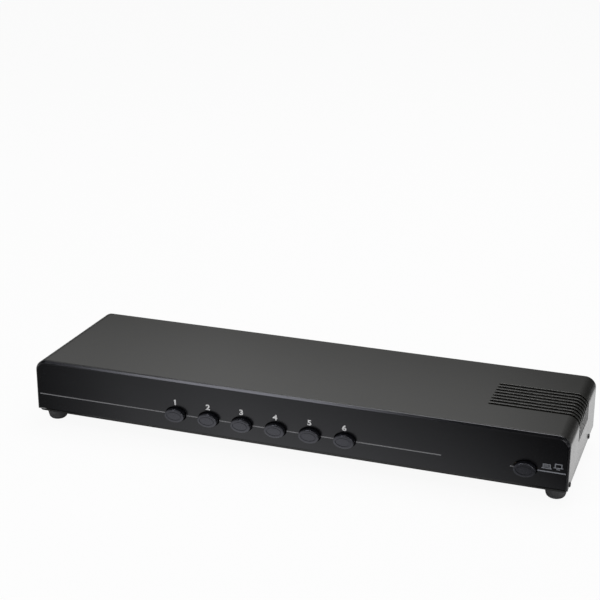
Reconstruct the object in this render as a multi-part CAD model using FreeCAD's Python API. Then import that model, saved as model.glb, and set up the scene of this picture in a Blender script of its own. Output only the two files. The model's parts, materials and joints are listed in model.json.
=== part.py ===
import FreeCAD, Part

import math
import os

from FreeCAD import Vector

# Loudspeaker selector: a low full-width case with six selector buttons and one
# protection button in front, and a row of lever terminals for bare wire at the back.
# Millimetres. X runs to the right, Y from front to back, Z up from the ground.
# While the pieces are built, Y is 0 on the flat front face. They are moved at the
# end, so that the origin lies under the middle of the whole object.

# --- case ---
WIDTH = 420.0               # fascia and cover, side to side
FASCIA_HEIGHT = 41.6        # lower to upper edge of the fascia
FASCIA_LIFT = 1.8           # fascia's lower edge above the tray's underside
FASCIA_THICKNESS = 3.0      # moulded front plate
RIM_BEVEL = 1.7             # bevel round the front face
CORNER_RADIUS = 8.8         # upper corners of fascia and cover, outside
COVER_BACK = 117.0          # front face to the cover's back edge
COVER_LIFT = 2.5            # cover's lower edge above the tray's underside
SEAM_GAP = 0.2              # between the fascia and the cover's front edge
SHEET = 1.0                 # steel of cover and tray
SLIP = 0.3                  # tray inside the cover, and pieces in their openings
BEND_RADIUS = 2.0           # lower edges of the tray, outside
SIDE_FLANGE = 16.0          # height of the tray's upturned sides
REAR_RECESS = 2.0           # back panel inside the cover's back edge

# --- vent slots, over the right-hand end and down the side ---
VENT_COUNT = 8
VENT_FIRST = 40.8           # front face to the middle of the first slot
VENT_PITCH = 5.44
VENT_WIDTH = 2.2
VENT_START = 67.2           # from the right-hand side to the slots' inner ends
VENT_DROP = 20.0            # below the top, to the slots' lower ends

# --- feet ---
FOOT_HEIGHT = 9.5
FOOT_RADIUS = 8.8
FOOT_TIP_RADIUS = 6.6
FOOT_EDGE = 1.8             # bevel of the lower edge
FOOT_INSET = 10.2           # from the side to the foot's middle
FOOT_FRONT = 14.5           # from the front face to the front feet
FOOT_BACK = 14.5            # from the cover's back edge to the rear feet

# --- buttons ---
BUTTON_COUNT = 6
BUTTON_FIRST = 120.9        # left-hand side to the first button
BUTTON_PITCH = 27.08
PROTECT_INSET = 30.5        # right-hand side to the protection button
BUTTON_HEIGHT = 14.1        # above the fascia's lower edge
BUTTON_TRAVEL = 3.5
CAP_WIDTH = 16.0
CAP_HEIGHT = 10.6
CAP_END_RADIUS = 4.1        # of the oval's two ends
CAP_REACH = 4.7             # in front of the face, button out
CAP_LENGTH = 12.7
CAP_WALL = 1.3
CAP_EDGE = 0.6              # bevel round the cap's end
CAP_GAP = 0.5               # round the cap in its hole
WINDOW_GAP = 1.5            # round the cap in the tray's front wall

# --- push switches ---
PLUNGER_SIDE = 4.0
PLUNGER_COVERED = 3.7       # cap in front of the plunger's end
PLUNGER_BACK = 24.0         # front face to the plunger's rear end
PLUNGER_FIT = 0.05          # plunger in the cap's socket
PLUNGER_PLAY = 0.1          # plunger in the switch
PLUNGER_ABOVE_BOARD = 6.2
SOCKET_WALL = 1.8
SWITCH_FRONT = 15.5
SWITCH_WIDTH = 14.0
SWITCH_HEIGHT = 12.0
SWITCH_LENGTH = 20.0
SWITCH_CHAMFER = 1.2
STOP_GAP = 0.5              # behind the plunger, pushed in
SPRING_WIRE = 0.6
SPRING_TURNS = 3
SPRING_STEPS = 9            # facets in one turn
SPRING_GAP = 0.1

# --- board and resistors ---
BOARD_THICKNESS = 1.6
BOARD_FRONT = 14.5
BOARD_SIDE_GAP = 14.0
BOARD_BACK_GAP = 0.8
SUPPORT_WIDTH = 8.0
SUPPORT_INSET = 55.0        # from the sides to the outer supports
SUPPORT_LIP = 2.0           # upright lip in front of the board's edge
SUPPORT_HOOK = 0.8          # barb over the board
SUPPORT_LENGTH = 6.0        # under the board
SUPPORT_BACK = 25.0         # rear supports, from the back panel
RESISTOR_COUNT = 3
RESISTOR_LENGTH = 48.0
RESISTOR_SIDE = 9.0
RESISTOR_PITCH = 13.0
RESISTOR_INSET = 42.0       # right-hand side to the resistors' middle
RESISTOR_FIRST = 46.0

# --- screws of the cover ---
SCREW_HEAD = 2.3
SCREW_HEAD_HEIGHT = 1.0
SCREW_SHANK = 1.45
SCREW_HOLE = 1.5
SCREW_LENGTH = 6.0
SCREW_HEIGHT = 5.0          # above the tray's underside
SCREW_FRONT = 3.6           # behind the cover's front edge
SCREW_BACK = 25.0           # in front of its back edge

# --- clips of the fascia ---
CLIP_COUNT = 4
CLIP_WIDTH = 8.0
CLIP_THICKNESS = 1.5
CLIP_BARB = 1.0
CLIP_INSET = 24.0           # from the sides
CLIP_TOP_GAP = 6.0          # below the front wall's upper edge
CLIP_BOTTOM_GAP = 5.5       # above the tray's underside

# --- lever terminals ---
TERMINALS = ("speaker_6", "speaker_5", "speaker_4", "speaker_3",
             "speaker_2", "speaker_1", "amplifier")
POLES = 4
POLE_PITCH = 9.4
LEVER_WIDTH = 7.8
LEVER_PLAY = 0.3            # at each side of a lever
BLOCK_WALL = 1.2
BLOCK_HEIGHT = 20.0
BLOCK_FRONT_WALL = 1.4
TERMINAL_END = 10.0         # free width of back panel at each end
PLATE_SIDE = 3.5            # rim of the block's plate beside the body
PLATE_LIP = 1.5             # the plate's rim below and above the body
PLATE_THICKNESS = 1.6
PLATE_CORNER = 1.2
LATCH_DEPTH = 3.0
LATCH_PROUD = 0.8
PIVOT_INSET = 6.4           # hinge line in front of the back panel
PIVOT_HEIGHT = 13.0         # above the board
ROOT_RADIUS = 1.9
LEVER_REACH = 15.5
LEVER_THICKNESS = 2.0
LEVER_REST = 20.0           # degrees above level
CAM_REACH = 5.0
CAM_FRONT = -100.0          # degrees, the cam's two lower corners
CAM_BACK = -72.0
TAB_ROOT = 7.6              # where the cam's web meets the tab
CAVITY_BACK = 4.6           # behind the hinge line, inside the block
CAVITY_FLOOR = 5.6          # below it
CAVITY_TOP = 4.6            # above it
CONTACT_THICKNESS = 0.5
CONTACT_WIDTH = 5.0
CONTACT_BACK = 3.1          # its rear face in front of the hinge line
CONTACT_HEIGHT = 11.0
CONTACT_PLAY = 0.4
WIRE_WIDTH = 3.6
WIRE_TALL = 3.4
WIRE_HEIGHT = 2.5           # wire hole's lower edge above the board

# --- worked out ---
half_width = WIDTH / 2
fascia_bottom = FOOT_HEIGHT + FASCIA_LIFT
fascia_top = fascia_bottom + FASCIA_HEIGHT
cover_front = FASCIA_THICKNESS + SEAM_GAP
cover_bottom = FOOT_HEIGHT + COVER_LIFT
chassis_half = half_width - SHEET - SLIP
wall_top = fascia_top - SHEET - SLIP
wall_radius = CORNER_RADIUS - SHEET - SLIP
floor_top = FOOT_HEIGHT + SHEET
rear_face = COVER_BACK - REAR_RECESS
rear_inside = rear_face - SHEET
button_z = fascia_bottom + BUTTON_HEIGHT
first_button = BUTTON_FIRST - half_width
protect_button = half_width - PROTECT_INSET
cap_back = CAP_LENGTH - CAP_REACH
board_top = button_z - PLUNGER_ABOVE_BOARD
board_bottom = board_top - BOARD_THICKNESS
board_half = chassis_half - BOARD_SIDE_GAP
board_back = rear_inside - BOARD_BACK_GAP
foot_x = half_width - FOOT_INSET
screw_z = FOOT_HEIGHT + SCREW_HEIGHT
pivot_y = rear_face - PIVOT_INSET
pivot_z = board_top + PIVOT_HEIGHT
block_half = (POLES * POLE_PITCH + BLOCK_WALL) / 2
block_top = board_top + BLOCK_HEIGHT
block_front = pivot_y - CAVITY_BACK - BLOCK_FRONT_WALL
terminal_pitch = 2 * (chassis_half - TERMINAL_END) / len(TERMINALS)
rest_angle = math.radians(LEVER_REST)
lever_tip = pivot_y + LEVER_REACH * math.cos(rest_angle) + LEVER_THICKNESS / 4 * math.sin(rest_angle)
origin_shift = Vector(0, (CAP_REACH - lever_tip) / 2, 0)

BUTTONS = [first_button + i * BUTTON_PITCH for i in range(BUTTON_COUNT)] + [protect_button]
CLIPS = [-half_width + CLIP_INSET + i * (WIDTH - 2 * CLIP_INSET) / (CLIP_COUNT - 1)
         for i in range(CLIP_COUNT)]
SUPPORTS = [SUPPORT_INSET - half_width, first_button + (BUTTON_COUNT / 2 + 0.5) * BUTTON_PITCH,
            half_width - SUPPORT_INSET]
FEET = [(x, y) for x in (-foot_x, foot_x) for y in (FOOT_FRONT, COVER_BACK - FOOT_BACK)]
SCREWS = [cover_front + SCREW_FRONT, COVER_BACK - SCREW_BACK]


# --- helpers ---
def box(x0, x1, y0, y1, z0, z1):
    return Part.makeBox(x1 - x0, y1 - y0, z1 - z0, Vector(x0, y0, z0))


def arch_prism(half, open_z, closed_z, radius, y0, y1):
    """An upright plate from y0 to y1, with two rounded corners at closed_z."""
    way = 1 if closed_z > open_z else -1
    slack = radius * (1 - math.sqrt(0.5))

    def at(x, z):
        return Vector(x, y0, z)

    bend_z = closed_z - way * radius
    middle_z = closed_z - way * slack
    left = Part.Arc(at(-half, bend_z), at(slack - half, middle_z), at(radius - half, closed_z))
    right = Part.Arc(at(half - radius, closed_z), at(half - slack, middle_z), at(half, bend_z))
    edges = [
        Part.LineSegment(at(-half, open_z), at(-half, bend_z)),
        left,
        Part.LineSegment(at(radius - half, closed_z), at(half - radius, closed_z)),
        right,
        Part.LineSegment(at(half, bend_z), at(half, open_z)),
        Part.LineSegment(at(half, open_z), at(-half, open_z)),
    ]
    face = Part.Face(Part.Wire([e.toShape() for e in edges]))
    return face.extrude(Vector(0, y1 - y0, 0))


def cap_prism(x, grow, y0, y1):
    """A bar along Y with the cap's oval outline, drawn with four arcs and grown all round."""
    half_w = CAP_WIDTH / 2 + grow
    half_h = CAP_HEIGHT / 2 + grow
    end = CAP_END_RADIUS + grow
    flat = (half_w ** 2 + half_h ** 2 - 2 * half_w * end) / (2 * (half_h - end))
    join_x = flat * (half_w - end) / (flat - end)
    join_z = end * (flat - half_h) / (flat - end)

    def at(dx, dz):
        return Vector(x + dx, y0, button_z + dz)

    arcs = [
        Part.Arc(at(-join_x, join_z), at(0, half_h), at(join_x, join_z)),
        Part.Arc(at(join_x, join_z), at(half_w, 0), at(join_x, -join_z)),
        Part.Arc(at(join_x, -join_z), at(0, -half_h), at(-join_x, -join_z)),
        Part.Arc(at(-join_x, -join_z), at(-half_w, 0), at(-join_x, join_z)),
    ]
    face = Part.Face(Part.Wire([arc.toShape() for arc in arcs]))
    return face.extrude(Vector(0, y1 - y0, 0))


def side_prism(points, x0, x1):
    """A prism along X on a closed outline of (y, z) points."""
    corners = [Vector(x0, y, z) for y, z in points]
    face = Part.Face(Part.makePolygon(corners + corners[:1]))
    return face.extrude(Vector(x1 - x0, 0, 0))


def screw(seat, direction, length):
    """A pan-head screw: its head stands out of the seat, its shank goes the other way."""
    head = Part.makeCylinder(SCREW_HEAD, SCREW_HEAD_HEIGHT, seat, direction)
    shank = Part.makeCylinder(SCREW_SHANK, length, seat, direction * -1)
    return head.fuse(shank).removeSplitter()


# --- case ---
def clip_places():
    rows = (wall_top - CLIP_TOP_GAP, FOOT_HEIGHT + CLIP_BOTTOM_GAP)
    return [(x, z) for x in CLIPS for z in rows]


def clip(x, z):
    """A flat tongue through the front wall, with a barb that hooks over its edge."""
    back = FASCIA_THICKNESS + SHEET + SLIP
    low = z - CLIP_THICKNESS / 2
    high = z + CLIP_THICKNESS / 2
    outline = [
        (FASCIA_THICKNESS - SLIP, low),
        (back + 2 * CLIP_BARB, low),
        (back + 2 * CLIP_BARB, high),
        (back, high + CLIP_BARB),
        (back, high),
        (FASCIA_THICKNESS - SLIP, high),
    ]
    return side_prism(outline, x - CLIP_WIDTH / 2, x + CLIP_WIDTH / 2)


def clip_slot(x, z):
    low = z - CLIP_THICKNESS / 2 - SLIP
    high = z + CLIP_THICKNESS / 2 + CLIP_BARB + SLIP
    reach = CLIP_WIDTH / 2 + SLIP
    return box(x - reach, x + reach, 0, FASCIA_THICKNESS + 2 * SHEET, low, high)


def make_fascia():
    plate = arch_prism(half_width, fascia_bottom, fascia_top, CORNER_RADIUS, 0, FASCIA_THICKNESS)
    rim = [e for e in plate.Edges if all(abs(v.Y) < 1e-6 for v in e.Vertexes)]
    plate = plate.makeChamfer(RIM_BEVEL, rim)
    holes = [cap_prism(x, CAP_GAP, -1, FASCIA_THICKNESS + 1) for x in BUTTONS]
    clips = [clip(x, z) for x, z in clip_places()]
    return plate.fuse(clips).cut(holes).removeSplitter()


def vent_slot(y):
    """The cutter for one slot: across the top, over the bend and down the side."""
    near = y - VENT_WIDTH / 2
    far = y + VENT_WIDTH / 2
    inner = half_width - VENT_START
    lower = fascia_top - VENT_DROP
    outside = half_width + SHEET
    above = fascia_top + SHEET
    bend = CORNER_RADIUS + SHEET
    across = box(inner, outside, near, far, fascia_top - bend, above)
    return across.fuse(box(half_width - bend, outside, near, far, lower, above))


def make_top_cover():
    shell = arch_prism(half_width, cover_bottom, fascia_top, CORNER_RADIUS, cover_front, COVER_BACK)
    hollow = arch_prism(half_width - SHEET, cover_bottom - 1, fascia_top - SHEET,
                        CORNER_RADIUS - SHEET, cover_front - 1, COVER_BACK + 1)
    slots = [vent_slot(VENT_FIRST + i * VENT_PITCH) for i in range(VENT_COUNT)]
    return shell.cut([hollow] + slots + side_screw_holes()).removeSplitter()


def side_screw_holes():
    return [
        Part.makeCylinder(SCREW_HOLE, WIDTH + 2, Vector(-half_width - 1, y, screw_z),
                          Vector(1, 0, 0))
        for y in SCREWS
    ]


def make_base_tray():
    front = FASCIA_THICKNESS
    channel = arch_prism(chassis_half, FOOT_HEIGHT + SIDE_FLANGE, FOOT_HEIGHT, BEND_RADIUS,
                         front, rear_face)
    inside = arch_prism(chassis_half - SHEET, FOOT_HEIGHT + SIDE_FLANGE + 1, floor_top,
                        BEND_RADIUS - SHEET, front, rear_face)
    wall_bottom = FOOT_HEIGHT + BEND_RADIUS
    walls = [
        arch_prism(chassis_half, wall_bottom, wall_top, wall_radius, y, y + SHEET)
        for y in (front, rear_inside)
    ]
    feet_of_walls = [
        box(BEND_RADIUS - chassis_half, chassis_half - BEND_RADIUS, y, y + SHEET,
            FOOT_HEIGHT, wall_bottom)
        for y in (front, rear_inside)
    ]
    tray = channel.cut(inside).fuse(walls + feet_of_walls)
    reach = CAP_WIDTH / 2 + WINDOW_GAP
    rise = CAP_HEIGHT / 2 + WINDOW_GAP
    openings = [
        box(x - reach, x + reach, front - 1, front + 2 * SHEET, button_z - rise, button_z + rise)
        for x in BUTTONS
    ]
    clip_slots = [clip_slot(x, z) for x, z in clip_places()]
    windows = [
        box(x - block_half - SLIP, x + block_half + SLIP, rear_inside - 1, rear_face + 1,
            board_top - SLIP, block_top + SLIP)
        for x in terminal_places()
    ]
    cutters = openings + clip_slots + windows + side_screw_holes()
    return tray.cut(cutters).removeSplitter()


def make_feet():
    feet = []
    for x, y in FEET:
        foot = Part.makeCone(FOOT_TIP_RADIUS, FOOT_RADIUS, FOOT_HEIGHT, Vector(x, y, 0))
        lower_edge = [e for e in foot.Edges if all(abs(v.Z) < 1e-6 for v in e.Vertexes)]
        feet.append(foot.makeChamfer(FOOT_EDGE, lower_edge))
    return Part.makeCompound(feet)


# --- board and what it carries ---
def make_circuit_board():
    return box(-board_half, board_half, BOARD_FRONT, board_back, board_bottom, board_top)


def front_support(x):
    """A block under the board's front edge, with a hooked lip that holds the edge down."""
    lip = BOARD_FRONT - SLIP
    hook_low = board_top + SLIP
    outline = [
        (lip - SUPPORT_LIP, floor_top),
        (BOARD_FRONT + SUPPORT_LENGTH, floor_top),
        (BOARD_FRONT + SUPPORT_LENGTH, board_bottom),
        (lip, board_bottom),
        (lip, hook_low),
        (lip + SUPPORT_HOOK, hook_low),
        (lip - SUPPORT_LIP / 2, hook_low + SUPPORT_LIP),
        (lip - SUPPORT_LIP, hook_low + SUPPORT_LIP),
    ]
    return side_prism(outline, x - SUPPORT_WIDTH / 2, x + SUPPORT_WIDTH / 2)


def rear_support(x):
    y = rear_inside - SUPPORT_BACK
    return box(x - SUPPORT_WIDTH / 2, x + SUPPORT_WIDTH / 2, y - SUPPORT_LENGTH / 2,
               y + SUPPORT_LENGTH / 2, floor_top, board_bottom)


def make_board_supports():
    return Part.makeCompound([make(x) for x in SUPPORTS for make in (front_support, rear_support)])


def make_resistors():
    middle = half_width - RESISTOR_INSET
    rows = [RESISTOR_FIRST + i * RESISTOR_PITCH for i in range(RESISTOR_COUNT)]
    return Part.makeCompound([
        box(middle - RESISTOR_LENGTH / 2, middle + RESISTOR_LENGTH / 2,
            y - RESISTOR_SIDE / 2, y + RESISTOR_SIDE / 2, board_top, board_top + RESISTOR_SIDE)
        for y in rows
    ])


def make_screws():
    """The four screws that hold the cover to the tray's upturned sides."""
    return Part.makeCompound([
        screw(Vector(side * half_width, y, screw_z), Vector(side, 0, 0), SCREW_LENGTH)
        for side in (-1, 1) for y in SCREWS
    ])


# --- buttons ---
def make_button_cap(x):
    """An oval cap with a square socket for the plunger and a hollow at each side of it."""
    half_w = CAP_WIDTH / 2
    half_h = CAP_HEIGHT / 2
    body = cap_prism(x, 0, -CAP_REACH, cap_back)
    rim = [e for e in body.Edges if abs(e.BoundBox.YMax + CAP_REACH) < 1e-3]
    body = body.makeChamfer(CAP_EDGE, rim)
    floor = PLUNGER_COVERED - CAP_REACH
    grip = PLUNGER_SIDE / 2 + PLUNGER_FIT
    socket = box(x - grip, x + grip, floor, cap_back, button_z - grip, button_z + grip)
    inner = grip + SOCKET_WALL
    outer = half_w - CAP_WALL - SOCKET_WALL / 2
    rise = half_h * math.sqrt(1 - (outer / half_w) ** 2) - CAP_WALL / 2
    hollows = [
        box(low, high, floor, cap_back, button_z - rise, button_z + rise)
        for low, high in ((x - outer, x - inner), (x + inner, x + outer))
    ]
    return body.cut([socket] + hollows)


def make_plunger(x):
    half = PLUNGER_SIDE / 2
    bar = box(x - half, x + half, PLUNGER_COVERED - CAP_REACH, PLUNGER_BACK,
              button_z - half, button_z + half)
    end = [e for e in bar.Edges if all(abs(v.Y - PLUNGER_BACK) < 1e-6 for v in e.Vertexes)]
    return bar.makeChamfer(PLUNGER_SIDE / 8, end)


def make_switch_housings():
    half = SWITCH_WIDTH / 2
    top = board_top + SWITCH_HEIGHT
    grip = PLUNGER_SIDE / 2 + PLUNGER_PLAY
    bore_end = PLUNGER_BACK + BUTTON_TRAVEL + STOP_GAP
    housings = []
    for x in BUTTONS:
        body = box(x - half, x + half, SWITCH_FRONT, SWITCH_FRONT + SWITCH_LENGTH, board_top, top)
        upper = [e for e in body.Edges
                 if all(abs(v.Z - top) < 1e-6 for v in e.Vertexes) and e.Length > SWITCH_WIDTH + 1]
        body = body.makeChamfer(SWITCH_CHAMFER, upper)
        bore = box(x - grip, x + grip, SWITCH_FRONT, bore_end, button_z - grip, button_z + grip)
        housings.append(body.cut(bore))
    return Part.makeCompound(housings)


def make_return_spring(x):
    """A coil of square wire round the plunger, between the cap and the switch."""
    clear = PLUNGER_SIDE / 2 * math.sqrt(2) + SPRING_GAP
    inner = clear / math.cos(math.pi / SPRING_STEPS)
    start = cap_back + SPRING_GAP
    run = SWITCH_FRONT - SPRING_GAP - SPRING_WIRE - start
    steps = SPRING_TURNS * SPRING_STEPS
    rings = []
    for i in range(steps + 1):
        turn = 2 * math.pi * i / SPRING_STEPS
        y = start + run * i / steps
        ring = []
        for out, back in ((0, 0), (1, 0), (1, 1), (0, 1)):
            radius = inner + out * SPRING_WIRE
            ring.append(Vector(x + radius * math.cos(turn), y + back * SPRING_WIRE,
                               button_z + radius * math.sin(turn)))
        rings.append(ring)
    faces = [facet(rings[0]), facet(rings[-1][::-1])]
    for near, far in zip(rings, rings[1:]):
        for k in range(4):
            n = (k + 1) % 4
            faces.append(facet([near[k], far[k], near[n]]))
            faces.append(facet([near[n], far[k], far[n]]))
    return Part.makeSolid(Part.makeShell(faces))


def facet(corners):
    return Part.Face(Part.makePolygon(corners + corners[:1]))


# --- terminals ---
def terminal_places():
    count = len(TERMINALS)
    return [(i - (count - 1) / 2) * terminal_pitch for i in range(count)]


def pole_places(x):
    return [x + (i - (POLES - 1) / 2) * POLE_PITCH for i in range(POLES)]


def pole_cutters(x):
    """Lever cavity, wire hole and contact slot of one pole."""
    out = rear_face + PLATE_THICKNESS + 1
    side = LEVER_WIDTH / 2 + LEVER_PLAY
    floor = pivot_z - CAVITY_FLOOR
    cavity = box(x - side, x + side, pivot_y - CAVITY_BACK, out, floor, pivot_z + CAVITY_TOP)
    contact_rear = pivot_y - CONTACT_BACK
    slot_side = CONTACT_WIDTH / 2 + CONTACT_PLAY
    slot = box(x - slot_side, x + slot_side, contact_rear - CONTACT_THICKNESS - CONTACT_PLAY,
               contact_rear + CONTACT_PLAY, board_top, floor)
    wire_low = board_top + WIRE_HEIGHT
    wire = box(x - WIRE_WIDTH / 2, x + WIRE_WIDTH / 2, contact_rear, out, wire_low,
               wire_low + WIRE_TALL)
    return [cavity, slot, wire]


def terminal_block(x):
    back = rear_face + PLATE_THICKNESS
    body = box(x - block_half, x + block_half, block_front, back, board_top, block_top)
    side = block_half + PLATE_SIDE
    plate = box(x - side, x + side, rear_face, back, board_top - PLATE_LIP, block_top + PLATE_LIP)
    corners = [e for e in plate.Edges if abs(e.Vertexes[0].Y - e.Vertexes[1].Y) > 1e-6]
    plate = plate.makeChamfer(PLATE_CORNER, corners)
    cutters = [c for pole in pole_places(x) for c in pole_cutters(pole)]
    return body.fuse([plate] + [latch(x, way) for way in (-1, 1)]).cut(cutters)


def latch(x, way):
    """A wedge on the block's side that snaps in behind the back panel."""
    edge = x + way * block_half
    rear = rear_inside - SLIP
    middle = (board_top + block_top) / 2
    low = middle - LATCH_DEPTH / 2
    outline = [
        Vector(edge - way * SLIP, rear - LATCH_DEPTH, low),
        Vector(edge - way * SLIP, rear, low),
        Vector(edge + way * LATCH_PROUD, rear, low),
    ]
    return facet(outline).extrude(Vector(0, 0, LATCH_DEPTH))


def make_terminal_blocks():
    return Part.makeCompound([terminal_block(x) for x in terminal_places()])


def make_contacts():
    """The upright spring strips that grip the bare wire."""
    rear = pivot_y - CONTACT_BACK
    half = CONTACT_WIDTH / 2
    return Part.makeCompound([
        box(pole - half, pole + half, rear - CONTACT_THICKNESS, rear,
            board_top, board_top + CONTACT_HEIGHT)
        for x in terminal_places() for pole in pole_places(x)
    ])


def make_lever(x):
    """A tab that stands out of the block, with a rounded root and a cam below it."""
    along = (math.cos(rest_angle), math.sin(rest_angle))

    def on_tab(reach, up):
        return Vector(x - LEVER_WIDTH / 2, pivot_y + reach * along[0] - up * along[1],
                      pivot_z + reach * along[1] + up * along[0])

    def round_pivot(radius, degrees):
        angle = math.radians(degrees)
        return Vector(x - LEVER_WIDTH / 2, pivot_y + radius * math.cos(angle),
                      pivot_z + radius * math.sin(angle))

    half = LEVER_THICKNESS / 2
    root_top = on_tab(0, ROOT_RADIUS)
    root_back = round_pivot(ROOT_RADIUS, LEVER_REST + 130)
    root_low = round_pivot(ROOT_RADIUS, LEVER_REST + 190)
    root = Part.Arc(root_low, round_pivot(ROOT_RADIUS, LEVER_REST + 160), root_back)
    corners = [
        root_back,
        root_top,
        on_tab(LEVER_REACH - half, half),
        on_tab(LEVER_REACH, half / 2),
        on_tab(LEVER_REACH, -half / 2),
        on_tab(LEVER_REACH - half, -half),
        on_tab(TAB_ROOT, -half),
        round_pivot(CAM_REACH, CAM_BACK),
        round_pivot(CAM_REACH, CAM_FRONT),
        root_low,
    ]
    outline = [root.toShape()] + Part.makePolygon(corners).Edges
    return Part.Face(Part.Wire(outline)).extrude(Vector(LEVER_WIDTH, 0, 0))


# --- all the pieces ---
def all_pieces():
    pieces = {
        "fascia": make_fascia(),
        "top_cover": make_top_cover(),
        "base_tray": make_base_tray(),
        "rubber_feet": make_feet(),
        "circuit_board": make_circuit_board(),
        "board_supports": make_board_supports(),
        "power_resistors": make_resistors(),
        "switch_housings": make_switch_housings(),
        "terminal_blocks": make_terminal_blocks(),
        "terminal_contacts": make_contacts(),
        "cover_screws": make_screws(),
    }
    names = [f"speaker_{i + 1}" for i in range(BUTTON_COUNT)] + ["protection"]
    for name, x in zip(names, BUTTONS):
        pieces[f"button_{name}"] = make_button_cap(x)
        pieces[f"plunger_{name}"] = make_plunger(x)
        pieces[f"spring_{name}"] = make_return_spring(x)
    for name, x in zip(TERMINALS, terminal_places()):
        for number, pole in enumerate(pole_places(x), 1):
            pieces[f"lever_{name}_{number}"] = make_lever(pole)
    return pieces


os.makedirs("parts", exist_ok=True)
for node, shape in all_pieces().items():
    shape.translate(origin_shift)
    shape.exportStep(f"parts/{node}.step")
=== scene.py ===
# %% [markdown]
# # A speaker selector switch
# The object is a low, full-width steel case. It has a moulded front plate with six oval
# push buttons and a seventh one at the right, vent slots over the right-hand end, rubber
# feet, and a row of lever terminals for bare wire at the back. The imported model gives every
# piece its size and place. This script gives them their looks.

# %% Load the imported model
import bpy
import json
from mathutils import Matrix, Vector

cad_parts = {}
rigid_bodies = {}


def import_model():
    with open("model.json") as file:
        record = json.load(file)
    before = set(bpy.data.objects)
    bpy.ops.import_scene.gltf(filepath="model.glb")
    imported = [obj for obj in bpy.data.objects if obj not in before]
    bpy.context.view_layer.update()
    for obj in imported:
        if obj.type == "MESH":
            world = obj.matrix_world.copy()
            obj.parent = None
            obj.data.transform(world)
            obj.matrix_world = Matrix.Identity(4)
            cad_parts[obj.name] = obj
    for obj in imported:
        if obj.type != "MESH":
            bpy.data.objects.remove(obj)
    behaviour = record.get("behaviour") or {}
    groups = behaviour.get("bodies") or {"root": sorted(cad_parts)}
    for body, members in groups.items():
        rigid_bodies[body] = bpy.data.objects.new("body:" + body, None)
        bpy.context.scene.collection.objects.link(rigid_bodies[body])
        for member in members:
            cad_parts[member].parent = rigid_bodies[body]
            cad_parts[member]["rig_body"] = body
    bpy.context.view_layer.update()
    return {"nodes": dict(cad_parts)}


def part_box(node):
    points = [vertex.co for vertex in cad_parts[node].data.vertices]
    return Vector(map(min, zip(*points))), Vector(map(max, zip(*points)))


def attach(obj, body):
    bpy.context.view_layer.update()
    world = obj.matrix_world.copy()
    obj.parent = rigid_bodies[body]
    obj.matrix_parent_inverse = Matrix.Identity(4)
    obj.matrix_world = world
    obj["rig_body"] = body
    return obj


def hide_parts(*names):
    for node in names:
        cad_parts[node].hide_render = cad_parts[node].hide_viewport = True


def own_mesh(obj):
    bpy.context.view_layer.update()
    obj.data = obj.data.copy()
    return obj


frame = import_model()

# %% [markdown]
# ## Names and units
# Blender works in metres, and a hi-fi case is measured in millimetres. One factor turns
# the one into the other. The places of the pieces are read from the boxes of the packed
# nodes, so that nothing has to be fitted by eye.

# %% Units and the planes that the pieces share
import json
import math

import bpy
from mathutils import Euler, Matrix, Vector

MM = 0.001
CLOSE = 0.01 * MM           # places nearer to each other than this are one place
fascia_low, fascia_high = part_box("fascia")
cover_low, cover_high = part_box("top_cover")
face_y = fascia_low.y
face_bottom = fascia_low.z
face_top = fascia_high.z
half_width = fascia_high.x
PLATE_THICKNESS = 3.0 * MM
PLATE_BEVEL = 1.7 * MM
CORNER_RADIUS = 8.8 * MM
CORNER_STEPS = 12           # facets of a rounded corner before it is smoothed
print("front face at y", round(face_y, 4), "z", round(face_bottom, 4), "to", round(face_top, 4))

# %% [markdown]
# ## The camera
# The case is seen from the right and from above, with a short telephoto lens about a metre
# away. The camera is level to within a fifth of a degree. Its height, its turn and its tilt
# are plain numbers, and so is the focal length of the lens.

# %% Camera
CAMERA_PLACE = Vector((0.3314, face_y - 0.8943, face_bottom + 0.4537))
CAMERA_TURN = 19.713
CAMERA_TILT = 19.433
CAMERA_ROLL = 0.212
CAMERA_LENS = 84.426
CAMERA_SENSOR = 36


def add_camera():
    camera = bpy.data.objects.new("camera", bpy.data.cameras.new("camera"))
    bpy.context.scene.collection.objects.link(camera)
    aim = Euler((math.radians(90 - CAMERA_TILT), 0, math.radians(CAMERA_TURN))).to_matrix()
    camera.rotation_euler = (aim @ Matrix.Rotation(math.radians(CAMERA_ROLL), 3, "Z")).to_euler()
    camera.location = CAMERA_PLACE
    camera.data.lens = CAMERA_LENS
    camera.data.sensor_width = CAMERA_SENSOR
    bpy.context.scene.camera = camera
    return camera


camera = add_camera()
print("camera with a lens of", camera.data.lens, "mm, turned", CAMERA_TURN, "tilted", CAMERA_TILT)

# %% [markdown]
# ## Helpers for modelling
# An operator works on what is selected, and a freshly loaded model is selected all over.
# So each helper first clears the selection and then picks one piece, or the faces or edges
# of one piece by where they lie.


# %% Selection helpers
def focus(piece):
    """Selects this piece alone and makes it the active one."""
    bpy.ops.object.select_all(action="DESELECT")
    piece.select_set(True)
    bpy.context.view_layer.objects.active = piece


def edit_faces(piece, test):
    """Opens edit mode with the faces selected that pass the test on centre and normal."""
    focus(piece)
    bpy.ops.object.mode_set(mode="EDIT")
    bpy.ops.mesh.select_mode(type="FACE")
    bpy.ops.mesh.select_all(action="DESELECT")
    bpy.ops.object.mode_set(mode="OBJECT")
    for face in piece.data.polygons:
        face.select = test(face.center, face.normal)
    bpy.ops.object.mode_set(mode="EDIT")


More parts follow.
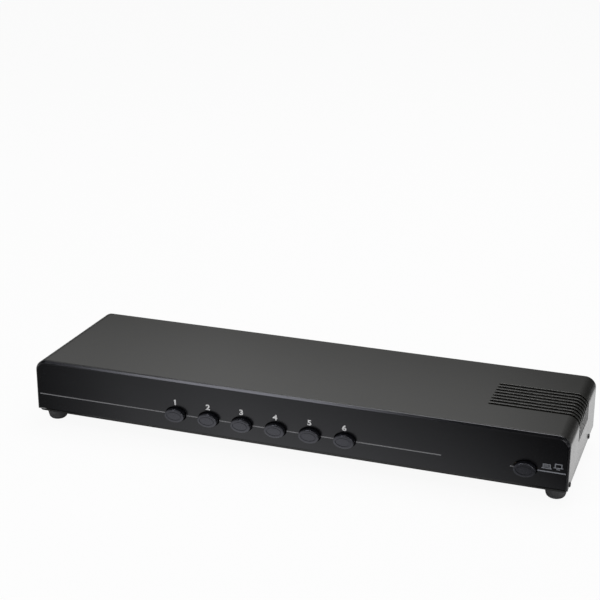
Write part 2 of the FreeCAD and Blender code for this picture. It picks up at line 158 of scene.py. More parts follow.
def edit_edges(piece, test):
    """Opens edit mode with the edges selected whose two ends pass the test."""
    focus(piece)
    bpy.ops.object.mode_set(mode="EDIT")
    bpy.ops.mesh.select_mode(type="EDGE")
    bpy.ops.mesh.select_all(action="DESELECT")
    bpy.ops.object.mode_set(mode="OBJECT")
    points = piece.data.vertices
    for edge in piece.data.edges:
        edge.select = test(points[edge.vertices[0]].co, points[edge.vertices[1]].co)
    bpy.ops.object.mode_set(mode="EDIT")


def close_edit():
    bpy.ops.object.mode_set(mode="OBJECT")


print("pieces selected before modelling", len(bpy.context.selected_objects))

# %% [markdown]
# Every finished piece has its place in its mesh, and its object at the origin. A new piece
# starts as a plain block or as a round or oval drum, because nearly all that is moulded,
# turned or folded here can be worked out of one of these two.


# %% Blocks and drums
def settle(piece, name=None):
    """Writes the object's place, turn and scale into its mesh."""
    focus(piece)
    bpy.ops.object.transform_apply(location=True, rotation=True, scale=True)
    if name:
        piece.name = name
    return piece


def add_block(name, low, high):
    bpy.ops.object.select_all(action="DESELECT")
    low = Vector(low)
    high = Vector(high)
    bpy.ops.mesh.primitive_cube_add(size=1, location=(low + high) / 2, scale=high - low)
    return settle(bpy.context.object, name)


def add_drum(name, centre, radii, length, axis, sides):
    """A cylinder or oval drum along Y, X or Z round a centre."""
    turns = {"X": (0, math.pi / 2, 0), "Y": (math.pi / 2, 0, 0), "Z": (0, 0, 0)}
    bpy.ops.object.select_all(action="DESELECT")
    bpy.ops.mesh.primitive_cylinder_add(vertices=sides, radius=1, depth=length, location=centre,
                                        rotation=turns[axis], scale=(radii[0], radii[1], 1))
    return settle(bpy.context.object, name)


# %% [markdown]
# A modifier is applied as soon as it is set up, so that the next step sees real faces. A
# cutter is thrown away once it has cut, as a drill leaves nothing but its hole.


# %% Modifiers, copies and cuts
def modify(piece, kind, **values):
    """Adds a modifier, sets its values and applies it."""
    focus(piece)
    modifier = piece.modifiers.new(kind.title(), kind)
    for name, value in values.items():
        setattr(modifier, name, value)
    bpy.ops.object.modifier_apply(modifier=modifier.name)


def join(pieces, name):
    focus(pieces[0])
    for piece in pieces[1:]:
        piece.select_set(True)
    if len(pieces) > 1:
        bpy.ops.object.join()
    pieces[0].name = name
    return pieces[0]


def copy_of(piece, name, move=(0, 0, 0)):
    twin = piece.copy()
    twin.data = piece.data.copy()
    twin.data.transform(Matrix.Translation(Vector(move)))
    twin.name = name
    bpy.context.scene.collection.objects.link(twin)
    return twin


def cut(piece, cutter):
    """Cuts the second piece out of the first and throws the cutter away."""
    modify(piece, "BOOLEAN", object=cutter, operation="DIFFERENCE", solver="EXACT")
    bpy.data.objects.remove(cutter)


# %% [markdown]
# No real edge is perfectly sharp. Bending, moulding and painting all leave a small round,
# and the thin light along it shows where a piece ends. The flat faces beside it keep their
# own normals, or the whole face would seem to bulge.


# %% Rounded edges
def soften(piece, width, steps=2, angle=30):
    """Rounds the sharp edges. Large faces keep their own normal, so that they stay flat."""
    modify(piece, "BEVEL", width=width, segments=steps, limit_method="ANGLE",
           angle_limit=math.radians(angle), use_clamp_overlap=True)
    smooth(piece)
    modify(piece, "WEIGHTED_NORMAL", mode="FACE_AREA", weight=100, keep_sharp=True)


def smooth(piece, angle=35):
    focus(piece)
    bpy.ops.object.shade_smooth_by_angle(angle=math.radians(angle))


print("meshes before modelling", len(bpy.data.meshes))

# %% [markdown]
# A dressed piece moves with the body of the imported node that it stands for, and it takes
# over the node's place.


def body_of(node):
    return frame["nodes"][node]["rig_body"]


def stand_for(piece, node, material):
    """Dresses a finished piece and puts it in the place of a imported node."""
    piece.data.materials.clear()
    piece.data.materials.append(material)
    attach(piece, body_of(node))
    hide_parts(node)


# %% [markdown]
# ## One grain for every finish
# Paint, moulded plastic, rubber and ceramic all owe their look to a fine grain that breaks
# up the light. A shader node group makes that grain once, from two noises of different
# size. It puts out a colour that wanders between two tones, a roughness that wanders with
# it, and a height for the bump. Each material then sets the size and the tones that suit it.


# %% Mixing colours
def colour_mix(nodes, blend="MIX"):
    """A mix of two colours: the node, its two inputs and its result."""
    mix = nodes.new("ShaderNodeMix")
    mix.data_type = "RGBA"
    mix.blend_type = blend
    first, second = [socket for socket in mix.inputs if socket.type == "RGBA"]
    result = [socket for socket in mix.outputs if socket.type == "RGBA"][0]
    return mix, first, second, result


# %% The grain group
GRAIN_INPUTS = (("Grain Size", "NodeSocketFloat", 0.3 * MM),
                ("Patch Size", "NodeSocketFloat", 20 * MM),
                ("Dark Tone", "NodeSocketColor", (0, 0, 0, 1)),
                ("Light Tone", "NodeSocketColor", (1, 1, 1, 1)),
                ("Low Roughness", "NodeSocketFloat", 0.3),
                ("High Roughness", "NodeSocketFloat", 0.5))
GRAIN_OUTPUTS = (("Color", "NodeSocketColor"), ("Roughness", "NodeSocketFloat"),
                 ("Height", "NodeSocketFloat"))
FINE_DETAIL = 2.0
BROAD_DETAIL = 3.0


def build_grain():
    group = bpy.data.node_groups.new("fine_grain", "ShaderNodeTree")
    for name, kind, value in GRAIN_INPUTS:
        socket = group.interface.new_socket(name, in_out="INPUT", socket_type=kind)
        socket.default_value = value
    for name, kind in GRAIN_OUTPUTS:
        group.interface.new_socket(name, in_out="OUTPUT", socket_type=kind)
    nodes = group.nodes
    link = group.links.new
    inputs = nodes.new("NodeGroupInput")
    outputs = nodes.new("NodeGroupOutput")
    place = nodes.new("ShaderNodeTexCoord")

    def noise(size_socket, detail):
        scale = nodes.new("ShaderNodeMath")
        scale.operation = "DIVIDE"
        scale.inputs[0].default_value = 1.0
        texture = nodes.new("ShaderNodeTexNoise")
        texture.inputs["Detail"].default_value = detail
        link(inputs.outputs[size_socket], scale.inputs[1])
        link(scale.outputs[0], texture.inputs["Scale"])
        link(place.outputs["Object"], texture.inputs["Vector"])
        return texture.outputs["Fac"]

    fine = noise("Grain Size", FINE_DETAIL)
    broad = noise("Patch Size", BROAD_DETAIL)
    blend = nodes.new("ShaderNodeMix")
    blend.data_type = "FLOAT"
    blend.inputs["Factor"].default_value = 0.5
    link(fine, blend.inputs["A"])
    link(broad, blend.inputs["B"])
    tone, dark, light, toned = colour_mix(nodes)
    link(blend.outputs["Result"], tone.inputs["Factor"])
    link(inputs.outputs["Dark Tone"], dark)
    link(inputs.outputs["Light Tone"], light)
    rough = nodes.new("ShaderNodeMix")
    rough.data_type = "FLOAT"
    link(broad, rough.inputs["Factor"])
    link(inputs.outputs["Low Roughness"], rough.inputs["A"])
    link(inputs.outputs["High Roughness"], rough.inputs["B"])
    link(toned, outputs.inputs["Color"])
    link(rough.outputs["Result"], outputs.inputs["Roughness"])
    link(fine, outputs.inputs["Height"])
    return group


fine_grain = build_grain()
print("nodes in the grain group", len(fine_grain.nodes))

# %% [markdown]
# Each finish is one material with a plain name. Its grain and patches are sizes in
# millimetres, its tones and roughness are given as a lower and an upper value, and what is
# the same all over, such as the tint of the gloss, is set on the shader itself.


# %% A finish from the grain
def finish_named(name, grain, patch, dark, light, rough, bump, metallic=0.0, specular=0.5,
                 tint=(1, 1, 1)):
    """A material that takes colour, roughness and bump from the grain group."""
    material = bpy.data.materials.new(name)
    material.use_nodes = True
    nodes = material.node_tree.nodes
    link = material.node_tree.links.new
    shader = nodes["Principled BSDF"]
    shader.inputs["Metallic"].default_value = metallic
    shader.inputs["Specular IOR Level"].default_value = specular
    shader.inputs["Specular Tint"].default_value = (*tint, 1)
    group = nodes.new("ShaderNodeGroup")
    group.node_tree = fine_grain
    group.inputs["Grain Size"].default_value = grain * MM
    group.inputs["Patch Size"].default_value = patch * MM
    group.inputs["Dark Tone"].default_value = (*dark, 1)
    group.inputs["Light Tone"].default_value = (*light, 1)
    group.inputs["Low Roughness"].default_value = rough[0]
    group.inputs["High Roughness"].default_value = rough[1]
    relief = nodes.new("ShaderNodeBump")
    relief.inputs["Strength"].default_value = 1.0
    relief.inputs["Distance"].default_value = bump * MM
    link(group.outputs["Color"], shader.inputs["Base Color"])
    link(group.outputs["Roughness"], shader.inputs["Roughness"])
    link(group.outputs["Height"], relief.inputs["Height"])
    link(relief.outputs["Normal"], shader.inputs["Normal"])
    return material


print("materials before the finishes", len(bpy.data.materials))

# %% [markdown]
# The finishes of this object, from the outside in. The case has a satin black paint with
# the faint orange peel of a sprayed coat. The front plate is a smoother moulded plastic.
# The buttons are a little greyer, and the rubber of the feet is dull.

# %% Materials
case_paint = finish_named("satin_black_paint", 0.45, 35, (0.0135, 0.0135, 0.0124),
                          (0.0185, 0.0185, 0.0170), (0.23, 0.28), 0.0025, tint=(1, 1, 0.97))
plate_plastic = finish_named("moulded_black_plastic", 0.25, 30, (0.0018, 0.0019, 0.0024),
                             (0.0028, 0.0029, 0.0036), (0.19, 0.24), 0.002, specular=0.56,
                             tint=(0.94, 0.95, 1.0))
button_plastic = finish_named("button_plastic", 0.2, 6, (0.0045, 0.0048, 0.0066),
                              (0.0070, 0.0074, 0.0100), (0.24, 0.30), 0.002, specular=0.95,
                              tint=(0.88, 0.89, 1.0))
rubber = finish_named("foot_rubber", 0.5, 8, (0.070, 0.070, 0.072), (0.100, 0.100, 0.103),
                      (0.65, 0.78), 0.02, specular=0.4)
print_white = finish_named("white_print", 0.15, 3, (0.80, 0.80, 0.80), (0.92, 0.92, 0.92),
                           (0.5, 0.6), 0.001)
print_grey = finish_named("grey_print", 0.15, 3, (0.20, 0.20, 0.21), (0.25, 0.25, 0.26),
                          (0.5, 0.6), 0.001)
print_pale = finish_named("pale_grey_print", 0.15, 3, (0.24, 0.25, 0.28), (0.30, 0.31, 0.34),
                          (0.5, 0.6), 0.001)
tray_paint = finish_named("tray_black_paint", 0.45, 35, (0.017, 0.017, 0.0165),
                          (0.024, 0.024, 0.023), (0.42, 0.50), 0.006)
block_plastic = finish_named("terminal_plastic", 0.3, 10, (0.012, 0.012, 0.012),
                             (0.018, 0.018, 0.018), (0.40, 0.50), 0.004)
red_plastic = finish_named("red_lever_plastic", 0.3, 8, (0.42, 0.010, 0.010),
                           (0.52, 0.018, 0.016), (0.34, 0.42), 0.003)
black_plastic = finish_named("black_lever_plastic", 0.3, 8, (0.014, 0.014, 0.014),
                             (0.021, 0.021, 0.021), (0.36, 0.44), 0.003)
spring_steel = finish_named("spring_steel", 0.2, 5, (0.50, 0.50, 0.48), (0.62, 0.62, 0.60),
                            (0.25, 0.35), 0.001, metallic=1.0)
black_steel = finish_named("blackened_steel", 0.2, 3, (0.03, 0.03, 0.03), (0.05, 0.05, 0.05),
                           (0.30, 0.40), 0.002, metallic=0.6)
laminate = finish_named("board_laminate", 0.6, 12, (0.22, 0.14, 0.06), (0.32, 0.21, 0.10),
                        (0.45, 0.55), 0.004)
cement = finish_named("resistor_cement", 0.8, 6, (0.62, 0.61, 0.56), (0.74, 0.73, 0.68),
                      (0.75, 0.9), 0.03)
nylon = finish_named("support_nylon", 0.4, 8, (0.62, 0.61, 0.55), (0.70, 0.69, 0.62),
                     (0.45, 0.55), 0.003)
white_plastic = finish_named("plunger_plastic", 0.3, 6, (0.60, 0.60, 0.57),
                             (0.68, 0.68, 0.65), (0.40, 0.50), 0.003)
print("materials", len(bpy.data.materials))

# %% [markdown]
# ## The inner pieces
# The board, its supports, the contacts and the plungers are right as they are packed. They
# only need their finish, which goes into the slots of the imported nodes.


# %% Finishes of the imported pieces
def dress(node, material):
    """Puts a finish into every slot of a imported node."""
    mesh = frame["nodes"][node].data
    if not mesh.materials:
        mesh.materials.append(material)
    for index in range(len(mesh.materials)):
        mesh.materials[index] = material


inner = {"circuit_board": laminate, "board_supports": nylon, "terminal_contacts": spring_steel}
inner.update({node: white_plastic for node in frame["nodes"] if node.startswith("plunger_")})
for node, material in inner.items():
    dress(node, material)
print("packed nodes with a finish of their own", len(inner))

# %% [markdown]
# ## The top cover
# The real cover is one sheet of steel, folded down at both sides. It starts here as a plain
# block of the cover's full size. Two bevelled edges become the bends, the open sides are
# deleted, and a solidify modifier gives the sheet its thickness on the inside.

# %% Folded sheet
SHEET = 1.0 * MM


def along_y_on_top(a, b):
    top = face_top - CLOSE
    return abs(a.y - b.y) > CLOSE and a.z > top and b.z > top


def fold_sheet():
    low = Vector((-half_width, cover_low.y, cover_low.z))
    high = Vector((half_width, cover_high.y, cover_high.z))
    cover = add_block("folded_cover", low, high)
    edit_edges(cover, along_y_on_top)
    bpy.ops.mesh.bevel(offset=CORNER_RADIUS, segments=CORNER_STEPS, affect="EDGES")
    close_edit()
    edit_faces(cover, lambda centre, normal: abs(normal.y) > 0.9 or normal.z < -0.9)
    bpy.ops.mesh.delete(type="FACE")
    close_edit()
    modify(cover, "SOLIDIFY", thickness=SHEET, offset=-1.0)
    return cover


cover = fold_sheet()
print("faces of the folded sheet", len(cover.data.polygons))

# %% [markdown]
# The slots let the heat of the resistors out. They run over the right-hand bend, where a
# punch cut them before the sheet was folded. Here one L-shaped tool is made from a block
# and an extruded face, its two ends are rounded, and an array copies it along the case.

# %% Slot tool
SLOT_COUNT = 8
SLOT_FIRST = 40.8 * MM
SLOT_PITCH = 5.44 * MM
SLOT_WIDTH = 3.0 * MM
SLOT_INNER = half_width - 67.2 * MM
SLOT_LOWER = face_top - 20.0 * MM
SLOT_END = SLOT_WIDTH / 2.05
SLOT_END_STEPS = 5


def slot_tool():
    """An L-shaped tool that cuts across the top, over the bend and down the side."""
    outside = half_width + SHEET
    bend = half_width - CORNER_RADIUS - SHEET
    near = face_y + SLOT_FIRST - SLOT_WIDTH / 2
    tool = add_block("slot_tool", (SLOT_INNER, near, face_top - CORNER_RADIUS - SHEET),
                     (outside, near + SLOT_WIDTH, face_top + SHEET))
    edit_faces(tool, lambda centre, normal: True)
    bpy.ops.mesh.bisect(plane_co=(bend, 0, 0), plane_no=(1, 0, 0))
    close_edit()
    edit_faces(tool, lambda centre, normal: normal.z < -0.9 and centre.x > bend)
    down = SLOT_LOWER - (face_top - CORNER_RADIUS - SHEET)
    bpy.ops.mesh.extrude_region_move(TRANSFORM_OT_translate={"value": (0, 0, down)})
    close_edit()
    round_ends(tool)
    modify(tool, "ARRAY", count=SLOT_COUNT, use_relative_offset=False, use_constant_offset=True,
           constant_offset_displace=(0, SLOT_PITCH, 0))
    return tool


def round_ends(tool):
    """Rounds the inner end of the slot on top and its lower end at the side."""

    def at_an_end(a, b):
        inner = abs(a.x - SLOT_INNER) < CLOSE and abs(b.x - SLOT_INNER) < CLOSE
        lower = abs(a.z - SLOT_LOWER) < CLOSE and abs(b.z - SLOT_LOWER) < CLOSE
        return (inner or lower) and abs(a.y - b.y) < CLOSE

    edit_edges(tool, at_an_end)
    bpy.ops.mesh.bevel(offset=SLOT_END, segments=SLOT_END_STEPS, affect="EDGES")
    close_edit()


cut(cover, slot_tool())
print("faces with the slots", len(cover.data.polygons))

# %% [markdown]
# Paint gathers on the lips of the slots and rounds them more broadly than the sheet's outer
# edges. The lips are the sharp edges that lie within the field of slots, so they are
# picked by the angle between their two faces and by their place.

# %% Lips of the slots
SLOT_LIP = 0.42 * MM
LIP_STEPS = 3
SHEET_ROUND = 0.32 * MM
ROUND_STEPS = 3
SHARP = math.radians(30)


def round_lips(cover):
    first = face_y + SLOT_FIRST - SLOT_PITCH / 2
    last = first + SLOT_COUNT * SLOT_PITCH
    facing = {}
    for face in cover.data.polygons:
        for key in face.edge_keys:
            facing.setdefault(key, []).append(face.normal)
    points = cover.data.vertices
    sharp = {frozenset(tuple(points[end].co) for end in key) for key, normals in facing.items()
             if len(normals) == 2 and normals[0].angle(normals[1]) > SHARP}

    def at_a_slot(point):
        return point.x > SLOT_INNER - MM and first < point.y < last

    edit_edges(cover, lambda a, b: at_a_slot(a) and at_a_slot(b)
               and frozenset((tuple(a), tuple(b))) in sharp)
    bpy.ops.mesh.bevel(offset=SLOT_LIP, segments=LIP_STEPS, affect="EDGES", clamp_overlap=True)
    close_edit()


round_lips(cover)
soften(cover, SHEET_ROUND, steps=ROUND_STEPS)
stand_for(cover, "top_cover", case_paint)
print("cover faces", len(cover.data.polygons))

# %% [markdown]
# ## The front plate
# The plate is a moulding with two rounded upper corners and a bevel all round its face,
# which catches the light. Seven oval holes let the buttons through. The upper corners and
# the bevel are bevelled edges of a block, and the holes are cut by oval drums.

# %% Front plate
BUTTONS = [f"button_speaker_{number}" for number in range(1, 7)] + ["button_protection"]
CAP_GAP = 0.5 * MM
OVAL_SIDES = 72


def middle_of(node):
    low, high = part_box(node)
    return (low + high) / 2


button_places = {name: middle_of(name) for name in BUTTONS}
cap_low, cap_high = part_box(BUTTONS[0])
cap_half_width = (cap_high.x - cap_low.x) / 2
cap_half_height = (cap_high.z - cap_low.z) / 2


def model_plate():
    plate = add_block("front_plate", (-half_width, face_y, face_bottom),
                      (half_width, face_y + PLATE_THICKNESS, face_top))
    edit_edges(plate, along_y_on_top)
    bpy.ops.mesh.bevel(offset=CORNER_RADIUS, segments=CORNER_STEPS, affect="EDGES")
    close_edit()
    on_face = face_y + CLOSE
    edit_edges(plate, lambda a, b: a.y < on_face and b.y < on_face)
    bpy.ops.mesh.bevel(offset=PLATE_BEVEL, segments=1, affect="EDGES")
    close_edit()
    radii = (cap_half_width + CAP_GAP, cap_half_height + CAP_GAP)
    drums = [add_drum("hole", (place.x, face_y + PLATE_THICKNESS / 2, place.z), radii,
                      4 * PLATE_THICKNESS, "Y", OVAL_SIDES) for place in button_places.values()]
    cut(plate, join(drums, "holes"))
    soften(plate, SHEET_ROUND, steps=ROUND_STEPS)
    stand_for(plate, "fascia", plate_plastic)
    return plate


plate = model_plate()
print("front plate faces", len(plate.data.polygons))

# %% [markdown]
# ## The button caps
# Each cap is an oval drum. Its front edge is rounded, and its face rises very slightly, ring
# by ring, to a flat panel for the fingertip. A fine groove runs round the panel.

# %% Face of a cap
CAP_EDGE = 0.8 * MM
CAP_EDGE_STEPS = 4
PILLOW_RINGS = 3
RING_BREADTH = 0.4 * MM
PILLOW_RISE = 0.05 * MM
GROOVE_DEPTH = 0.5 * MM
GROOVE_STEPS = ((0.05 * MM, GROOVE_DEPTH), (0.25 * MM, 0), (0.05 * MM, -GROOVE_DEPTH))


def shape_cap(low, high):
    cap = add_drum("cap", (low + high) / 2, (cap_half_width, cap_half_height), high.y - low.y,
                   "Y", OVAL_SIDES)
    edit_faces(cap, lambda centre, normal: normal.y < -0.99)
    bpy.ops.transform.translate(value=(0, PILLOW_RISE, 0))
    close_edit()
    front = low.y + PILLOW_RISE + CLOSE
    edit_edges(cap, lambda a, b: a.y < front and b.y < front)
    bpy.ops.mesh.bevel(offset=CAP_EDGE, segments=CAP_EDGE_STEPS, affect="EDGES")
    close_edit()
    edit_faces(cap, lambda centre, normal: normal.y < -0.99)
    for ring in range(PILLOW_RINGS):
        rise = PILLOW_RISE * 2 * (PILLOW_RINGS - ring - 0.5) / PILLOW_RINGS ** 2
        bpy.ops.mesh.inset(thickness=RING_BREADTH)
        bpy.ops.transform.translate(value=(0, -rise, 0))
    for inwards, back in GROOVE_STEPS:
        bpy.ops.mesh.inset(thickness=inwards)
        bpy.ops.transform.translate(value=(0, back, 0))
    close_edit()
    return cap


first_cap = shape_cap(cap_low, cap_high)
print("faces of a cap", len(first_cap.data.polygons))

# %% [markdown]
# A moulded cap is hollow behind, so that its walls cool evenly. It has a square socket for
# the plunger and a hollow at each side of it. One cap is modelled, and the seven on the
# case are copies with a mesh of their own.

# %% Back of the caps
SOCKET_HALF = 2.05 * MM
SOCKET_WALL = 1.8 * MM
END_WALL = 2.2 * MM
HOLLOW_HALF = cap_half_height * 0.5
CAP_ROUND = 0.05 * MM


def hollow_cap(cap, low, high):
    middle = (low + high) / 2
    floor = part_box(BUTTONS[0].replace("button", "plunger"))[0].y
    behind = high.y + MM
    inner = SOCKET_HALF + SOCKET_WALL
    outer = cap_half_width - END_WALL
    tools = [
        add_block("hollow", (middle.x + left, floor, middle.z - tall),
                  (middle.x + right, behind, middle.z + tall))
        for left, right, tall in ((-SOCKET_HALF, SOCKET_HALF, SOCKET_HALF),
                                  (-outer, -inner, HOLLOW_HALF), (inner, outer, HOLLOW_HALF))
    ]
    cut(cap, join(tools, "hollows"))
    soften(cap, CAP_ROUND, angle=40)


hollow_cap(first_cap, cap_low, cap_high)
for node in BUTTONS:
    move = button_places[node] - button_places[BUTTONS[0]]
    cap = copy_of(first_cap, "cap_" + node.split("button_")[1], move)
    stand_for(cap, node, button_plastic)
bpy.data.objects.remove(first_cap)
print("caps", len(BUTTONS))

# %% [markdown]
# ## The feet
# Each foot is a squat cone of rubber with a well rounded lower rim. The rim is one bevelled
# edge loop. The four feet are one node, so they are joined into one piece.

# %% Feet
feet_low, feet_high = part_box("rubber_feet")
FOOT_TOP = 8.8 * MM
FOOT_TIP = 6.6 * MM
FOOT_ROUND = 2.6 * MM
FOOT_ROUND_STEPS = 6
FOOT_SIDES = 64


def model_foot(x, y):
    height = feet_high.z
    bpy.ops.object.select_all(action="DESELECT")
    bpy.ops.mesh.primitive_cone_add(vertices=FOOT_SIDES, radius1=FOOT_TIP, radius2=FOOT_TOP,
                                    depth=height, location=(x, y, height / 2))
    foot = settle(bpy.context.object, "foot")
    edit_edges(foot, lambda a, b: a.z < CLOSE and b.z < CLOSE)
    bpy.ops.mesh.bevel(offset=FOOT_ROUND, segments=FOOT_ROUND_STEPS, affect="EDGES")
    close_edit()
    return foot


out_x = feet_high.x - FOOT_TOP
feet = [model_foot(x, y) for x in (-out_x, out_x)
        for y in (feet_low.y + FOOT_TOP, feet_high.y - FOOT_TOP)]
foot_cones = join(feet, "foot_cones")
smooth(foot_cones)
stand_for(foot_cones, "rubber_feet", rubber)
print("feet", len(feet))

# %% [markdown]
# ## Pieces that keep their packed form
# The terminal blocks, the levers, the tray and the pieces on the board have the right form
# already, but edges as sharp as a knife. A copy of each is merged, its flat faces are made
# whole again, and its edges get a small round, because light that runs along a round edge
# is what tells the eye that a thing is real.

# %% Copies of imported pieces
MERGE = 0.005 * MM
FLAT = math.radians(1)


def packed_copy(node, name):
    """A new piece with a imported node's form, its points merged and its flat faces whole."""
    source = frame["nodes"][node]
    mesh = source.data.copy()
    mesh.transform(source.matrix_world)
    piece = bpy.data.objects.new(name, mesh)
    bpy.context.scene.collection.objects.link(piece)
    focus(piece)
    bpy.ops.object.mode_set(mode="EDIT")
    bpy.ops.mesh.select_all(action="SELECT")
    bpy.ops.mesh.remove_doubles(threshold=MERGE)
    bpy.ops.mesh.dissolve_limited(angle_limit=FLAT)
    close_edit()
    return piece


def round_packed(node, width, steps, material):
    piece = packed_copy(node, "rounded_" + node)
    soften(piece, width, steps=steps)
    stand_for(piece, node, material)


# %% [markdown]
# Each kind of piece has a round of its own. A resistor is cast of cement and has blunt
# edges, and a folded sheet has hardly any. The levers of a terminal are red and black in
# turn, so that the two wires of a speaker can be told apart.

# %% Rounded edges, piece by piece
ROUNDED = [("terminal_blocks", 0.2 * MM, 2, block_plastic),
           ("power_resistors", 0.4 * MM, 2, cement),
           ("switch_housings", 0.2 * MM, 2, block_plastic),
           ("base_tray", 0.15 * MM, 1, tray_paint)]
for node in frame["nodes"]:
    if node.startswith("lever_"):
        is_red = int(node[-1]) % 2 == 0
        ROUNDED.append((node, 0.3 * MM, 3, red_plastic if is_red else black_plastic))
for rounded in ROUNDED:
    round_packed(*rounded)
print("pieces with rounded edges", len(ROUNDED))

# %% [markdown]
# ## The return springs
# A spring is wound from steel wire and sits round each plunger, between the back of the cap
# and the switch. It keeps its packed form, and its rear end rests on the switch.


def fit_spring(button):
    name = button.split("button_")[1]
    node = "spring_" + name
    low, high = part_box(node)
    spring = packed_copy(node, "wound_" + node)
    stand_for(spring, node, spring_steel)
    length = high.y - low.y
    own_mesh(spring)
    return length


lengths = [fit_spring(button) for button in BUTTONS]
print("springs", len(lengths), "of length in mm", round(lengths[0] / MM, 2))

# %% [markdown]
# ## The screws
# Four small pan-head screws hold the cover to the tray. A head is a short drum with a well
# rounded rim, and a cross of two blocks is cut into it for the driver.

# %% Screws
screws_low, screws_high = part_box("cover_screws")
SCREW_HEAD = 1.9 * MM
HEAD_HEIGHT = screws_high.x - half_width
HEAD_ROOM = 2.3 * MM
SHANK_RADIUS = 1.45 * MM
SHANK_LENGTH = 6 * MM
CROSS_LENGTH = 2.6 * MM
CROSS_WIDTH = 0.55 * MM
CROSS_DEPTH = 0.6 * HEAD_HEIGHT
HEAD_ROUND = 0.7 * MM
HEAD_ROUND_STEPS = 4
HEAD_SIDES = 40
SHANK_SIDES = 24


def model_screw(side, y, z):
    outer = side * (half_width + HEAD_HEIGHT)
    head = add_drum("head", (side * (half_width + HEAD_HEIGHT / 2), y, z), (SCREW_HEAD, SCREW_HEAD),
                    HEAD_HEIGHT, "X", HEAD_SIDES)
    edit_edges(head, lambda a, b: abs(a.x - outer) < CLOSE and abs(b.x - outer) < CLOSE)
    bpy.ops.mesh.bevel(offset=HEAD_ROUND, segments=HEAD_ROUND_STEPS, affect="EDGES")
    close_edit()
    for along, across in ((CROSS_LENGTH, CROSS_WIDTH), (CROSS_WIDTH, CROSS_LENGTH)):
        cut(head, add_block("cross", (outer - side * CROSS_DEPTH, y - along / 2, z - across / 2),
                            (outer + side * CROSS_DEPTH, y + along / 2, z + across / 2)))
    shank = add_drum("shank", (side * (half_width - SHANK_LENGTH / 2), y, z),
                     (SHANK_RADIUS, SHANK_RADIUS), SHANK_LENGTH, "X", SHANK_SIDES)
    return join([head, shank], "screw")


screw_z = (screws_low.z + screws_high.z) / 2
screws = [model_screw(side, y, screw_z) for side in (-1, 1)
          for y in (screws_low.y + HEAD_ROOM, screws_high.y - HEAD_ROOM)]
cover_screws = join(screws, "pan_head_screws")
smooth(cover_screws, angle=30)
stand_for(cover_screws, "cover_screws", black_steel)
print("screws", len(screws))

# %% [markdown]
# ## Print on the front
# The figures over the buttons are printed in white. A thin grey line runs along the row
# of buttons and stops at each hole, and two small marks beside the last button show it out
# and pushed in. A screen print lies on the surface and has hardly any thickness. Each
# print is a flat mesh that stands off the plate by a few hundredths of a millimetre, so
# that it stays sharp from any distance.

# %% Figures
PRINT_DEPTH = 0.03 * MM
FIGURE_HEIGHT = 4.4 * MM
FIGURE_RAISE = 9.5 * MM     # above the middle of the buttons
FIGURE_SHIFT = 0.6 * MM     # to the left of it
BOLDNESS = 0.030
BREADTH = 1.22
TEXT_DEPTH = 0.01           # any depth will do, because it is scaled afterwards
button_row = button_places[BUTTONS[0]].z


def print_figure(text, x, z, height):
    bpy.ops.object.select_all(action="DESELECT")
    bpy.ops.object.text_add(location=(0, 0, 0))
    figure = bpy.context.object
    figure.data.body = text
    figure.data.align_x = "CENTER"
    figure.data.offset = BOLDNESS
    figure.data.extrude = TEXT_DEPTH
    bpy.ops.object.convert(target="MESH")
    figure = bpy.context.object
    size = height / figure.dimensions.y
    figure.scale = (size * BREADTH, size, PRINT_DEPTH / figure.dimensions.z)
    figure.rotation_euler = (math.pi / 2, 0, 0)
    settle(figure, "figure_" + text)
    corners = [point.co for point in figure.data.vertices]
    middle_x = (min(c.x for c in corners) + max(c.x for c in corners)) / 2
    middle_z = (min(c.z for c in corners) + max(c.z for c in corners)) / 2
    shift = (x - middle_x, face_y - PRINT_DEPTH / 2, z - middle_z)
    figure.data.transform(Matrix.Translation(shift))
    return figure


def finish_print(pieces, name, material):
    printed = join(pieces, name)
    printed.data.materials.clear()
    printed.data.materials.append(material)
    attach(printed, body_of("fascia"))
    return printed


figures = []
for number in range(1, 7):
    over = button_places[f"button_speaker_{number}"].x - FIGURE_SHIFT
    figures.append(print_figure(str(number), over, button_row + FIGURE_RAISE, FIGURE_HEIGHT))
print("figures", len(figures))

# %% [markdown]
# On the plate, the 1 has a broader flag than the plain typeface gives it. The flag is one
# more block, turned about its upper end and laid against the stem.

# %% Flag of the first figure
FLAG_LONG = 1.25 * MM
FLAG_BROAD = 0.75 * MM
FLAG_LEAN = 38
FLAG_OVERLAP = 0.3 * MM
FLAG_DROP = 0.02 * MM
FLAG_BACK = 0.1 * PRINT_DEPTH


def print_flag(stem):
    left = min(point.co.x for point in stem.data.vertices)
    top = max(point.co.z for point in stem.data.vertices)
    flag = add_block("flag", (-FLAG_LONG, -PRINT_DEPTH, -FLAG_BROAD), (0, 0, 0))
    flag.data.transform(Matrix.Rotation(math.radians(-FLAG_LEAN), 4, "Y"))
    place = (left + FLAG_OVERLAP, face_y + FLAG_BACK, top - FLAG_DROP)
    flag.data.transform(Matrix.Translation(place))
    return flag


figures.append(print_flag(figures[0]))
printed = finish_print(figures, "printed_figures", print_white)
print("faces of the printed figures", len(printed.data.polygons))

# %% [markdown]
# The line is cut from one long strip. It leaves out each hole, and a stretch to the left of
# the last button stays bare, except for one short dash.

# %% Line and dash
LINE_WIDTH = 0.8 * MM
LINE_LEFT = -206.5 * MM
LINE_STOP = 118.7 * MM
DASH = (168.7 * MM, 171.2 * MM)
PRINT_MARGIN = 0.05 * MM
HOLE_CLEARANCE = cap_half_width + CAP_GAP + PRINT_MARGIN
LINE_DROP = 0.15 * MM


def print_bar(left, right, low, high):
    return add_block("bar", (left, face_y - PRINT_DEPTH, low), (right, face_y, high))


